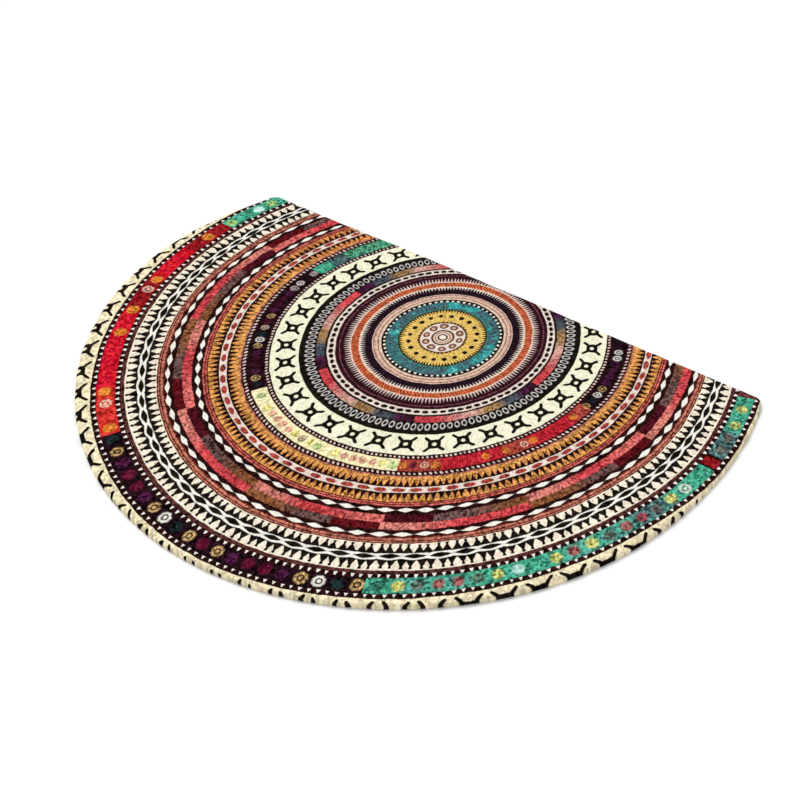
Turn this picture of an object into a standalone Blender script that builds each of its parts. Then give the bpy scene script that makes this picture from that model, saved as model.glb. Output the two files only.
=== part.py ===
"""A half-round doormat: one flat piece of printed plush with a rounded edge, lying face up on its underside.

World axes: +X along the flat edge, +Y from the round side to the flat edge, +Z up.
The origin is at the middle of the mat's box, on the surface that it lies on.
"""

import bmesh
import bpy

# Driving sizes, in metres
ARC_RADIUS = 0.445
DEPTH = 0.625
THICKNESS = 0.007
CORNER_RADIUS = 0.010
UPPER_ROUND = 0.003
LOWER_ROUND = 0.001

# How finely the round stretches are cut
CIRCLE_STEPS = 192
CORNER_STEPS = 5
UPPER_STEPS = 4
LOWER_STEPS = 2

# Places that follow from the sizes
FLAT_EDGE_Y = DEPTH / 2
ARC_CENTRE_Y = ARC_RADIUS - DEPTH / 2
SHARE_OF_A_STEP = 1e-6

PLUSH_COLOUR = (0.42, 0.22, 0.16, 1.0)
PLUSH_ROUGHNESS = 0.95


def plush_material():
    """Plain stand-in colour of the printed plush."""
    material = bpy.data.materials.new("printed_plush")
    material.use_nodes = True
    shader = material.node_tree.nodes["Principled BSDF"]
    shader.inputs["Base Color"].default_value = PLUSH_COLOUR
    shader.inputs["Roughness"].default_value = PLUSH_ROUGHNESS
    shader.inputs["Metallic"].default_value = 0.0
    return material


def cut_outline(shape):
    """One face with the mat's outline, at Z 0: a disc cut off along the flat edge, with two rounded corners."""
    bmesh.ops.create_circle(shape, cap_ends=True, segments=CIRCLE_STEPS, radius=ARC_RADIUS)
    bmesh.ops.translate(shape, verts=shape.verts, vec=(0.0, ARC_CENTRE_Y, 0.0))
    everything = shape.verts[:] + shape.edges[:] + shape.faces[:]
    bmesh.ops.bisect_plane(
        shape,
        geom=everything,
        dist=SHARE_OF_A_STEP,
        plane_co=(0.0, FLAT_EDGE_Y, 0.0),
        plane_no=(0.0, 1.0, 0.0),
        clear_outer=True,
    )
    corners = [v for v in shape.verts if abs(v.co.y - FLAT_EDGE_Y) < SHARE_OF_A_STEP]
    bmesh.ops.bevel(
        shape,
        geom=corners,
        offset=CORNER_RADIUS,
        offset_type="OFFSET",
        segments=CORNER_STEPS,
        profile=0.5,
        affect="VERTICES",
        material=-1,
    )


def rim_edges(shape, height):
    """The edges that run round the mat at one height."""
    return [e for e in shape.edges if all(abs(v.co.z - height) < SHARE_OF_A_STEP for v in e.verts)]


def round_rim(shape, height, radius, steps):
    """Rounds the rim at one height over."""
    bmesh.ops.bevel(
        shape,
        geom=rim_edges(shape, height),
        offset=radius,
        offset_type="OFFSET",
        segments=steps,
        profile=0.5,
        affect="EDGES",
        clamp_overlap=True,
        material=-1,
    )


def make_mat():
    """The mat: the outline raised to its thickness, its upper rim well rounded and its lower rim slightly."""
    shape = bmesh.new()
    cut_outline(shape)
    raised = bmesh.ops.extrude_face_region(shape, geom=shape.faces[:], use_keep_orig=True)
    top = [v for v in raised["geom"] if isinstance(v, bmesh.types.BMVert)]
    bmesh.ops.translate(shape, verts=top, vec=(0.0, 0.0, THICKNESS))
    bmesh.ops.recalc_face_normals(shape, faces=shape.faces[:])
    round_rim(shape, THICKNESS, UPPER_ROUND, UPPER_STEPS)
    round_rim(shape, 0.0, LOWER_ROUND, LOWER_STEPS)
    mesh = bpy.data.meshes.new("mat")
    shape.to_mesh(mesh)
    shape.free()
    mesh.materials.append(plush_material())
    mesh.shade_smooth()
    mesh.set_sharp_from_angle(angle=0.6)
    mat = bpy.data.objects.new("mat", mesh)
    bpy.context.scene.collection.objects.link(mat)
    return mat


def main():
    """Clears the scene and makes the mat."""
    for old in list(bpy.data.objects):
        bpy.data.objects.remove(old, do_unlink=True)
    make_mat()


main()
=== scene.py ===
"""Looks of a half-round doormat: one piece of printed plush on a pale floor, under soft light.

The mat is one mesh in the place of the frame's plain solid. Its cut line lies a few millimetres off the
solid's true circle, and its surface is softer and slightly uneven. Its print is worked out by the material
from each point's distance and direction from one centre near the flat edge: plain rings, rings cut into
sectors or blocks, and rows of rosettes and small motifs. Print sizes are in millimetres and directions in
degrees, 0 to the right along the flat edge and 90 to the round side. Everything else is in metres, unless
its own note says otherwise.
"""

import logging
import math
from collections.abc import Sequence
from dataclasses import dataclass, field
from enum import Enum
from typing import NamedTuple

import bmesh
import bpy
from mathutils import Matrix, Vector, noise


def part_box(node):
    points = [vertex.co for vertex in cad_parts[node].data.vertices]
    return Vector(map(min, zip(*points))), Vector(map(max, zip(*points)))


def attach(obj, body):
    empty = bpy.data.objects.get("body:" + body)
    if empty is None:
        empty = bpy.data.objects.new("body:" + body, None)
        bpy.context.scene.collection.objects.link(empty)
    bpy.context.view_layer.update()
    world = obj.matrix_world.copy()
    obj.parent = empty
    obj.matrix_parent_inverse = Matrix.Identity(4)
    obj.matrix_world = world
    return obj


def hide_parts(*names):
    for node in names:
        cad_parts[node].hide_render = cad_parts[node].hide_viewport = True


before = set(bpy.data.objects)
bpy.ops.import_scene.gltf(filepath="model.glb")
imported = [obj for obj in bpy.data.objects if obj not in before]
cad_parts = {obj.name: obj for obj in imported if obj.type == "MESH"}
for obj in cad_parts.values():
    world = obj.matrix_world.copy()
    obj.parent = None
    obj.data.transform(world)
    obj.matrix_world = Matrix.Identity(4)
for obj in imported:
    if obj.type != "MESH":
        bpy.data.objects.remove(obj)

LOG = logging.getLogger("doormat")
MM_PER_METRE = 1000.0
FULL_TURN = 360.0
SRGB_TOE = 0.04045
SRGB_TOE_SLOPE = 12.92
SRGB_OFFSET = 0.055
SRGB_POWER = 2.4
MIX_UNDER, MIX_OVER, MIX_RESULT = 6, 7, 2
"""A Mix node's colour sockets, by number, since its other sockets have the same names."""
CLEAR = (0.0, 0.0, 0.0, 0.0)
Point = tuple[float, float]
Colour = tuple[float, float, float, float]
Stops = Sequence[tuple[float, Colour]]
Layer = bmesh.types.BMLayerItem


class Ink(Enum):
    """The print's dyes, each as a hexadecimal sRGB colour."""

    PALE_CREAM = "f0edd0"
    WARM_CREAM = "ecdfbb"
    TOOTH_CREAM = "f2e5d0"
    WHITE = "efebe0"
    BLACK = "16120e"
    DARK_BROWN = "250b0c"
    BROWN = "6b3a36"
    TAN = "c2a068"
    PLUM = "2e1019"
    BLACK_PLUM = "1c0a12"
    PURPLE = "46163a"
    MAROON = "560c14"
    CRIMSON = "b01f2c"
    RED = "c61026"
    ROSE = "c13f45"
    SALMON = "c47468"
    DUSTY_PINK = "bd7470"
    PEACH = "dcbfa8"
    ORANGE = "c4613a"
    RUST = "5c1c17"
    CLAY = "b06c58"
    ROSE_CLAY = "bc5a50"
    BRICK = "9c3c32"
    SCARLET = "ca2e26"
    DEEP_MAROON = "470c1a"
    PINK_WHITE = "dcc4bc"
    WINE = "5a0e2c"
    DARK_RED = "8c141c"
    GOLD = "cd8d4c"
    YELLOW = "d9c95c"
    PALE_YELLOW = "efe4b4"
    OLIVE = "7b4a2c"
    GREY_MAUVE = "614643"
    GREEN = "8db468"
    TEAL = "409a7e"
    BLUE_TEAL = "4f9288"
    DARK_TEAL = "12282a"
    TURQUOISE = "40786f"
    PALE_BLUE = "b9dcd6"
    AMBER = "dc8a30"
    STRAW = "dcb760"
    HONEY = "d0924a"
    BRONZE = "94714a"
    CORAL = "c6635c"
    MAUVE = "7c4654"
    BLUSH = "e4d4c8"
    SAND = "d8bca4"
    BLUSHING_SAND = "cfa294"
    UMBER = "8c5c48"
    COCOA = "4a281e"
    CHAIN_GREY = "c4bfbb"
    LILAC_WHITE = "bcaaa8"
    DEEP_WINE = "400e20"
    SHADOW_TEAL = "2f4c4c"
    SEA_TEAL = "3f8474"
    BRIGHT_TURQUOISE = "2b9c9a"
    LIGHT_TURQUOISE = "74bfb8"
    DEEP_SLATE = "444e58"
    LEAF_TEAL = "58a06e"
    LAGOON = "3c787c"
    COPPER = "bd7040"
    DUSK = "20101c"
    CRANBERRY = "a0283c"
    BACKING = "d6cfc1"

    @property
    def linear(self) -> Colour:
        """The ink as linear red, green, blue and alpha."""
        red, green, blue = (self._linear(byte / 255) for byte in bytes.fromhex(self.value))
        return red, green, blue, 1.0

    @staticmethod
    def _linear(part: float) -> float:
        """One sRGB part, from 0 to 1, as linear light."""
        curved = ((part + SRGB_OFFSET) / (1.0 + SRGB_OFFSET)) ** SRGB_POWER
        return part / SRGB_TOE_SLOPE if part <= SRGB_TOE else curved


class Wire:
    """One output of a node, with Python's operators standing for Math nodes."""

    def __init__(self, loom: "Loom", socket: bpy.types.NodeSocket) -> None:
        """Keeps the socket and the loom that it belongs to."""
        self.loom = loom
        self.socket = socket

    def __add__(self, other: "Number") -> "Wire":
        """self + other."""
        return self.loom.math("ADD", self, other)

    def __radd__(self, other: "Number") -> "Wire":
        """other + self."""
        return self.loom.math("ADD", other, self)

    def __sub__(self, other: "Number") -> "Wire":
        """self - other."""
        return self.loom.math("SUBTRACT", self, other)

    def __rsub__(self, other: "Number") -> "Wire":
        """other - self."""
        return self.loom.math("SUBTRACT", other, self)

    def __mul__(self, other: "Number") -> "Wire":
        """self * other."""
        return self.loom.math("MULTIPLY", self, other)

    def __rmul__(self, other: "Number") -> "Wire":
        """other * self."""
        return self.loom.math("MULTIPLY", other, self)

    def __truediv__(self, other: "Number") -> "Wire":
        """self / other."""
        return self.loom.math("DIVIDE", self, other)

    def __abs__(self) -> "Wire":
        """The size of self."""
        return self.loom.math("ABSOLUTE", self)

    def __floor__(self) -> "Wire":
        """The whole number at or below self."""
        return self.loom.math("FLOOR", self)

    def __gt__(self, other: "Number") -> "Wire":
        """1 where self is greater than other, else 0."""
        return self.loom.math("GREATER_THAN", self, other)

    def __lt__(self, other: "Number") -> "Wire":
        """1 where self is less than other, else 0."""
        return self.loom.math("LESS_THAN", self, other)

    def __pow__(self, other: "Number") -> "Wire":
        """self to a power."""
        return self.loom.math("POWER", self, other)


Number = Wire | float


class Loom:
    """Builds one material's nodes."""

    def __init__(self, name: str) -> None:
        """Starts a material with a Principled shader.

        Args:
            name: The material's name.
        """
        self.material = bpy.data.materials.new(name)
        self.material.use_nodes = True
        self.tree = self.material.node_tree
        self.shader = self.tree.nodes["Principled BSDF"]

    def node(self, kind: str, settings: dict[str, object], inputs: dict[str | int, object]) -> bpy.types.Node:
        """Adds a node.

        Args:
            kind: The node's type.
            settings: Its own settings, set first; "stops" holds how a ramp runs, and its places and colours.
            inputs: A value or a wire for each socket, by name or number.

        Returns:
            The node.
        """
        made = self.tree.nodes.new(kind)
        for name, value in settings.items():
            if name == "stops":
                self._set_stops(made.color_ramp, *value)
            else:
                setattr(made, name, value)
        for name, value in inputs.items():
            if isinstance(value, Wire):
                self.tree.links.new(value.socket, made.inputs[name])
            else:
                made.inputs[name].default_value = value
        return made

    @staticmethod
    def _set_stops(ramp: bpy.types.ColorRamp, run: str, stops: Stops) -> None:
        """Gives a ramp its stops.

        Args:
            ramp: The ramp.
            run: How it runs between its stops.
            stops: The place and the colour of each.
        """
        ramp.interpolation = run
        while len(ramp.elements) < len(stops):
            ramp.elements.new(1.0)
        for element, (place, colour) in zip(ramp.elements, stops, strict=True):
            element.position = place
            element.color = colour

    def math(self, operation: str, *values: Number, clamp: bool = False) -> Wire:
        """A Math node.

        Args:
            operation: Its operation.
            values: Its inputs, in order.
            clamp: Whether to keep the result between 0 and 1.

        Returns:
            Its result.
        """
        made = self.node("ShaderNodeMath", {"operation": operation}, dict(enumerate(values)))
        result = Wire(self, made.outputs[0])
        if clamp:
            result = Wire(self, self.node("ShaderNodeClamp", {}, {0: result}).outputs[0])
        return result

    def least(self, first: Number, second: Number) -> Wire:
        """The smaller of two values."""
        return self.math("MINIMUM", first, second)

    def most(self, first: Number, second: Number) -> Wire:
        """The larger of two values."""
        return self.math("MAXIMUM", first, second)

    def length(self, along: Number, across: Number) -> Wire:
        """The length of a two-part distance."""
        return self.math("SQRT", along * along + across * across)

    def rise(self, value: Wire, low: float, high: float) -> Wire:
        """0 below one value, 1 above another, and evenly between."""
        step = 1.0 / (high - low)
        return self.math("MULTIPLY_ADD", value, step, -low * step, clamp=True)

    def within(self, distance: Wire, blur: float) -> Wire:
        """1 where a signed distance is below 0 and 0 above, with an edge that is blur wide."""
        return self.math("MULTIPLY_ADD", distance, -1.0 / blur, 0.5, clamp=True)

    def mix(self, share: Number, under: Wire | Ink, over: Wire | Ink) -> Wire:
        """Lays one colour over another.

        Args:
            share: How much of the upper colour shows.
            under: The lower colour.
            over: The upper colour.

        Returns:
            The mixed colour.
        """
        low, high = (colour.linear if isinstance(colour, Ink) else colour for colour in (under, over))
        made = self.node("ShaderNodeMix", {"data_type": "RGBA"}, {0: share, MIX_UNDER: low, MIX_OVER: high})
        return Wire(self, made.outputs[MIX_RESULT])

    def ramp(self, value: Wire, stops: Stops, run: str = "CONSTANT") -> tuple[Wire, Wire]:
        """The colour and the alpha that a ramp has at a value from 0 to 1."""
        made = self.node("ShaderNodeValToRGB", {"stops": (run, stops)}, {0: value})
        return Wire(self, made.outputs[0]), Wire(self, made.outputs[1])

    def cloud(self, place: Wire, grain: float, detail: float = 1.0, roughness: float = 0.5) -> Wire:
        """Soft noise from 0 to 1.

        Args:
            place: Where to read it.
            grain: The size of its lumps, in the units of the place.
            detail: How many finer layers it has.
            roughness: How strong the finer layers are.

        Returns:
            The noise.
        """
        values = {"Vector": place, "Scale": 1.0 / grain, "Detail": detail, "Roughness": roughness}
        return Wire(self, self.node("ShaderNodeTexNoise", {}, values).outputs[0])

    def dice(self, number: Wire, seed: float) -> tuple[Wire, Wire, Wire]:
        """Chance values that are the same for the same whole number.

        Args:
            number: The whole number.
            seed: Sets the values apart from those of other rows.

        Returns:
            Three values from 0 to 1.
        """
        seeded = number + seed
        rolled = self.node("ShaderNodeTexWhiteNoise", {"noise_dimensions": "1D"}, {"W": seeded})
        parts = self.node("ShaderNodeSeparateColor", {}, {0: Wire(self, rolled.outputs["Color"])})
        first, second, third = (Wire(self, socket) for socket in parts.outputs)
        return first, second, third

    def place(self) -> Wire:
        """Where the point is on the piece, in metres."""
        return Wire(self, self.node("ShaderNodeTexCoord", {}, {}).outputs["Object"])

    def finish(self, inputs: dict[str, object], relief: Wire, depth: float) -> bpy.types.Material:
        """Sets the shader and its bump.

        Args:
            inputs: A value or a wire for each of the shader's sockets.
            relief: The height of the surface, from 0 to 1.
            depth: How deep that height goes, in metres.

        Returns:
            The material.
        """
        bump = self.node("ShaderNodeBump", {}, {"Strength": 1.0, "Distance": depth, "Height": relief})
        for name, value in (inputs | {"Normal": Wire(self, bump.outputs[0])}).items():
            if isinstance(value, Wire):
                self.tree.links.new(value.socket, self.shader.inputs[name])
            else:
                self.shader.inputs[name].default_value = value
        return self.material


@dataclass(frozen=True)
class Cell:
    """Where a point lies in one of the equal cells round a ring."""

    share: Wire
    """Across the cell, from -0.5 to 0.5."""
    along: Wire
    """The same in millimetres."""
    out: Wire
    """Outward from the row's radius, in millimetres."""
    number: Wire
    """Which cell it is."""
    chance: tuple[Wire, Wire, Wire]
    """Three chance values of the cell, from 0 to 1."""

    def varied(self, which: int, least: float, spread: float) -> Wire:
        """A value from the least one to the spread above it, by one of the chance values."""
        return least + self.chance[which] * spread

    def nudge(self, which: int, spread: float) -> Wire:
        """A value of up to half the spread either way, by one of the chance values."""
        return (self.chance[which] - 0.5) * spread


class Stray(NamedTuple):
    """How far the rings stray from true circles in one direction."""

    way: float
    """The direction."""
    middle: float
    """How far the middle rings stray outward, in millimetres."""
    outer: float
    """How far the outer rings do."""
    turn: float
    """How far the outer rings turn, in degrees."""


@dataclass(frozen=True)
class PrintPlan:
    """Where the print's rings lie on the mat."""

    centre: Point = (2.4, 184.4)
    """The rings' centre, in millimetres."""
    narrow: float = 0.948
    """The rings' width along the flat edge as a share of their depth."""
    spread: float = 0.9789
    """The print's scale at the height of the centre."""
    widen: float = 0.1359
    """How much that scale grows with each metre towards the round side."""
    strays: tuple[Stray, ...] = (
        Stray(way=-30.0, middle=-5.2, outer=-6.4, turn=0.0),
        Stray(way=-12.0, middle=-2.9, outer=-4.3, turn=0.0),
        Stray(way=4.0, middle=-3.2, outer=0.8, turn=0.1),
        Stray(way=18.0, middle=-3.9, outer=-2.3, turn=0.25),
        Stray(way=35.0, middle=-5.4, outer=-2.4, turn=0.5),
        Stray(way=50.0, middle=-4.2, outer=-1.6, turn=0.35),
        Stray(way=68.0, middle=-2.9, outer=-0.6, turn=0.0),
        Stray(way=90.0, middle=-1.1, outer=-0.2, turn=-0.8),
        Stray(way=112.0, middle=0.9, outer=-4.4, turn=-0.9),
        Stray(way=128.0, middle=-0.4, outer=-4.3, turn=-0.4),
        Stray(way=145.0, middle=-2.8, outer=-2.4, turn=0.2),
        Stray(way=160.0, middle=-2.4, outer=-0.4, turn=0.5),
        Stray(way=178.0, middle=-3.1, outer=-1.3, turn=0.0),
        Stray(way=205.0, middle=-5.7, outer=-6.1, turn=0.0),
    )
    stray_scale: float = 20.0
    """What a ramp's whole range stands for in that table."""
    inner_end: float = 120.0
    """The radius up to which the rings are true circles."""
    middle: Point = (230.0, 280.0)
    """The radii between which the rings are middle ones."""
    outer_start: float = 420.0
    """The radius from which they are outer ones."""
    shiver: float = 0.9
    """How far the lines stray at the size of a motif, in millimetres."""
    shiver_grain: float = 0.016
    """The size of that finer waver, in metres."""
    blur: float = 0.8
    """How soft a printed edge is, in millimetres."""


class RoundPrint:
    """Distance and direction from the print's centre, as wires of one material."""

    def __init__(self, loom: Loom, plan: PrintPlan) -> None:
        """Works out each point's radius and turn.

        Args:
            loom: The material that is being built.
            plan: Where the rings lie.
        """
        self.loom = loom
        self.plan = plan
        self.place = loom.place()
        parts = loom.node("ShaderNodeSeparateXYZ", {}, {0: self.place})
        x, y = (Wire(loom, parts.outputs[i]) for i in (0, 1))
        down = plan.centre[1] / MM_PER_METRE - y
        scale = (down * plan.widen + plan.spread) * (1.0 / MM_PER_METRE)
        across = (x - plan.centre[0] / MM_PER_METRE) / (scale * plan.narrow)
        down = down / scale
        values = {"Vector": self.place, "Scale": 1.0 / plan.shiver_grain, "Detail": 0.0}
        made = loom.node("ShaderNodeTexNoise", {}, values)
        parts = loom.node("ShaderNodeSeparateColor", {}, {0: Wire(loom, made.outputs["Color"])})
        across = across + (Wire(loom, parts.outputs[0]) - 0.5) * (2.0 * plan.shiver)
        down = down + (Wire(loom, parts.outputs[1]) - 0.5) * (2.0 * plan.shiver)
        self.turn = 0.25 - loom.math("ARCTAN2", across, down) * (0.5 / math.pi)
        reach = loom.length(across, down)
        outward, sideways = self._stray(reach)
        self.radius = reach - outward
        self.turn = self.turn - sideways * (1.0 / FULL_TURN)

    def _stray(self, reach: Wire) -> tuple[Wire, Wire]:
        """How far a point of the print strays.

        Args:
            reach: The point's distance from the centre.

        Returns:
            The stray outward, in millimetres, and sideways, in degrees.
        """
        loom, plan = self.loom, self.plan
        first, last = plan.strays[0].way, plan.strays[-1].way
        stops = [
            ((way - first) / (last - first), (*(0.5 + value / plan.stray_scale for value in values), 1.0))
            for way, *values in plan.strays
        ]
        share = (self.turn * FULL_TURN - first) * (1.0 / (last - first))
        table, _ = loom.ramp(share, stops, "CARDINAL")
        parts = loom.node("ShaderNodeSeparateColor", {}, {0: table})
        near, far, side = ((Wire(loom, socket) - 0.5) * plan.stray_scale for socket in parts.outputs)
        held = loom.rise(reach, plan.inner_end, plan.middle[0])
        beyond = loom.rise(reach, plan.middle[1], plan.outer_start)
        grown = loom.most(reach - plan.middle[1], 0.0) * (1.0 / (plan.outer_start - plan.middle[1]))
        return held * (near + (far - near) * beyond), side * grown

    def cells(self, radius: float, count: float, at: float, seed: float, lean: float = 0.0) -> Cell:
        """Cuts a ring into equal cells.

        Args:
            radius: The radius that counts as the cells' middle.
            count: How many cells a full circle has.
            at: The direction of the middle of one cell.
            seed: Sets the cells' chance values apart from other rings'.
            lean: How many cells the row leans over for each millimetre outward.

        Returns:
            The point's place in its cell.
        """
        out = self.radius - radius
        steps = (self.turn - at / FULL_TURN) * count + 0.5
        if lean:
            steps = steps + out * lean
        number = math.floor(steps)
        share = steps - number - 0.5
        along = share * (2.0 * math.pi * radius / count)
        return Cell(share, along, out, number, self.loom.dice(number, seed))

    def past(self, radius: float) -> Wire:
        """1 outside a radius, 0 inside it, with the print's soft edge."""
        return self.loom.within(radius - self.radius, self.plan.blur)

    def between(self, inner: float, outer: float) -> Wire:
        """1 between two radii."""
        return self.past(inner) - self.past(outer)

    def turned(self, direction: float) -> Wire:
        """1 where the direction is greater than the one given."""
        return self.turn > direction / FULL_TURN


@dataclass(frozen=True)
class Motif:
    """A row of like marks round a ring."""

    radius: float
    """Where the marks' middle or foot lies."""
    count: float
    """How many marks, or pairs of teeth, a full circle has."""
    ink: Ink
    at: float = 90.0
    """The direction of the middle of one of them."""
    seed: float = 0.0
    """Sets the row's chance values apart from other rows'."""

    def distance(self, loom: Loom, cell: Cell) -> Wire:
        """The signed distance from the mark's edge in millimetres, below 0 inside it."""
        raise NotImplementedError

    def paint(self, rings: RoundPrint, colour: Wire) -> Wire:
        """Lays the row over the print so far.

        Args:
            rings: The print's radius and turn.
            colour: The print so far.

        Returns:
            The print with the row on it.
        """
        cell = rings.cells(self.radius, self.count, self.at, self.seed)
        mask = rings.loom.within(self.distance(rings.loom, cell), rings.plan.blur)
        return rings.loom.mix(mask, colour, self.ink)


@dataclass(frozen=True)
class Dots(Motif):
    """Small ovals, or blunt triangles where they taper."""

    half_along: float = 2.0
    half_out: float = 2.4
    taper: float = 0.0
    """How much the mark narrows outward, or inward if below 0."""
    lean: float = 0.0
    """Millimetres along for each millimetre outward."""
    unevenness: float = 0.3
    """How much the marks differ in size."""
    waist: float = 0.62
    """Half the width of a tapered mark at its middle, as a share of half_along."""

    def distance(self, loom: Loom, cell: Cell) -> Wire:
        """The signed distance from an oval or a blunt triangle.

        Args:
            loom: The material that is being built.
            cell: The point's place in its cell.

        Returns:
            The distance in millimetres, below 0 inside.
        """
        grown = cell.varied(0, 1.0 - 0.5 * self.unevenness, self.unevenness)
        out = cell.out + cell.nudge(1, self.half_out * self.unevenness)
        along = cell.along + cell.nudge(2, self.half_along * self.unevenness)
        if self.lean:
            along = along + out * self.lean
        if not self.taper:
            reach = loom.length(along * (1.0 / self.half_along), out * (1.0 / self.half_out))
            return (reach - grown) * min(self.half_along, self.half_out)
        half = grown * self.half_along * (self.waist - out * (0.5 * self.taper / self.half_out))
        return loom.most(abs(along) - half, abs(out) - self.half_out)


@dataclass(frozen=True)
class Lozenges(Motif):
    """Long diamonds whose tips nearly meet."""

    half_out: float = 4.0
    reach: float = 0.5
    """How far the tips go from the middle, as a share of the cell."""
    swell: float = 1.25
    """Above 1 the sides bulge."""
    line: float = 0.0
    """How much thicker it is all along, which joins the diamonds."""
    least: float = 0.9
    """The flattest diamond's height as a share of half_out."""
    taller: float = 0.2
    """How much taller the tallest one is, in the same measure."""
    wander: float = 0.9
    """How far they may wander outward and inward, from side to side."""

    def distance(self, loom: Loom, cell: Cell) -> Wire:
        """The signed distance from a diamond with slightly bulging sides.

        Args:
            loom: The material that is being built.
            cell: The point's place in its cell.

        Returns:
            The distance in millimetres, below 0 inside.
        """
        tall = self.half_out * cell.varied(0, self.least, self.taller)
        out = cell.out + cell.nudge(1, self.wander)
        inward = loom.most(1.0 - abs(cell.share) * (1.0 / self.reach), 0.0)
        return abs(out) - self.line - tall * (1.0 - (1.0 - inward) ** self.swell)


@dataclass(frozen=True)
class Teeth(Motif):
    """Pairs of teeth that stand on a ring, each ending in a thin stem."""

    height: float = 12.0
    """How far they go outward, or inward if below 0."""
    base: float = 0.48
    """Half the tooth's foot, as a share of half a cell."""
    stem: float = 0.12
    """Half the stem's thickness, in the same measure."""
    knob: float = 0.05
    """How much thicker the stem's end is."""
    slope: float = 1.12
    """How soon the tooth narrows to its stem."""
    pair: float = 0.07
    """How much nearer than half a cell the two teeth of a pair stand."""
    knob_start: float = 0.675
    """Where the stem begins to thicken, as a share of the height."""
    knob_full: float = 0.8
    """Where it is thickest."""
    root: float = 0.2
    """How far the tooth goes on under its foot, as a share of the height."""
    longest: float = 0.9
    """The longest tooth's factor on the distance from its foot."""
    shorter: float = 0.22
    """How much more the shortest one's factor is."""
    wander: float = 0.05
    """How far the pairs may wander along the ring, from side to side, as a share of the cell."""

    def distance(self, loom: Loom, cell: Cell) -> Wire:
        """The signed distance from a tooth with a stem.

        Args:
            loom: The material that is being built.
            cell: The point's place in its cell.

        Returns:
            The distance in millimetres, below 0 inside.
        """
        up = cell.out * (1.0 / self.height) * cell.varied(0, self.longest, self.shorter)
        share = abs(abs(cell.share + cell.nudge(1, self.wander)) * 2.0 - (0.5 - self.pair))
        end = loom.rise(up, self.knob_start, self.knob_full) * self.knob
        half = loom.most(self.base * (1.0 - up * self.slope), end + self.stem)
        wide = math.pi * self.radius / self.count
        sides = (share - half) * wide
        ends = abs(up - (0.5 - 0.5 * self.root)) - (0.5 + 0.5 * self.root)
        return loom.most(sides, ends * abs(self.height))


@dataclass(frozen=True)
class Chain(Motif):
    """A chain of hollow ovals."""

    half_along: float = 3.7
    half_out: float = 6.3
    wall: float = 0.26
    """Half the wall as a share of the oval."""
    wander: float = 1.2
    """How far they may wander outward and inward, from side to side."""

    def distance(self, loom: Loom, cell: Cell) -> Wire:
        """The signed distance from an oval's wall.

        Args:
            loom: The material that is being built.
            cell: The point's place in its cell.

        Returns:
            The distance in millimetres, below 0 inside.
        """
        out = cell.out + cell.nudge(1, self.wander)
        reach = loom.length(cell.along * (1.0 / self.half_along), out * (1.0 / self.half_out))
        return (abs(reach - (1.0 - self.wall)) - self.wall) * self.half_along


@dataclass(frozen=True)
class Crosses(Motif):
    """Crosses with four slanting arms and a blunt square hub with a hole in it."""

    half_along: float = 13.2
    half_out: float = 13.4
    arm: float = 1.7
    """Half an arm's thickness."""
    hub: float = 7.7
    """Half the hub's width."""
    hole: float = 3.0
    """The hole's radius."""
    hub_round: float = 1.2
    """How far the hub's blunt corners reach from its middle, as a share of its half-width."""
    wander: float = 1.2
    """How far they may wander along the ring and across it, from side to side."""
    lean: float = 0.12
    """How far they may lean, from side to side, in millimetres outward for each millimetre along."""

    def distance(self, loom: Loom, cell: Cell) -> Wire:
        """The signed distance from a cross.

        Args:
            loom: The material that is being built.
            cell: The point's place in its cell.

        Returns:
            The distance in millimetres, below 0 inside.
        """
        along = cell.along + cell.nudge(0, self.wander)
        out = cell.out + cell.nudge(1, self.wander) + along * cell.nudge(2, self.lean)
        side = abs(along) * (1.0 / self.half_along)
        rise = abs(out) * (1.0 / self.half_out)
        middle = 0.5 * (self.half_along + self.half_out)
        arms = abs(side - rise) * (math.sqrt(0.5) * middle) - self.arm
        arms = loom.most(arms, (loom.most(side, rise) - 1.0) * middle)
        reach = loom.length(along, out)
        square = loom.most(abs(along), abs(out))
        hub = loom.most(square - self.hub, reach - self.hub * self.hub_round)
        return loom.most(loom.least(arms, hub), self.hole - reach)


@dataclass(frozen=True)
class Strokes(Motif):
    """Short slanted strokes that fill a band, like the turns of a cord."""

    half_out: float = 4.6
    lean: float = 0.12
    """Cells along for each millimetre outward."""
    width: float = 0.17
    """Half a stroke's thickness as a share of the cell."""
    faintest: float = 0.45
    """How much of the ink the faintest stroke shows."""
    stronger: float = 0.5
    """How much more the strongest one shows."""

    def distance(self, loom: Loom, cell: Cell) -> Wire:
        """The signed distance from a stroke.

        Args:
            loom: The material that is being built.
            cell: The point's place in its cell.

        Returns:
            The distance in millimetres, below 0 inside.
        """
        wide = 2.0 * math.pi * self.radius / self.count
        return loom.most((abs(cell.share) - self.width) * wide, abs(cell.out) - self.half_out)

    def paint(self, rings: RoundPrint, colour: Wire) -> Wire:
        """Lays the strokes over the print so far.

        Args:
            rings: The print's radius and turn.
            colour: The print so far.

        Returns:
            The print with the strokes on it.
        """
        cell = rings.cells(self.radius, self.count, self.at, self.seed, self.lean)
        mask = rings.loom.within(self.distance(rings.loom, cell), rings.plan.blur)
        mask = mask * cell.varied(0, self.faintest, self.stronger)
        return rings.loom.mix(mask, colour, self.ink)


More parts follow.
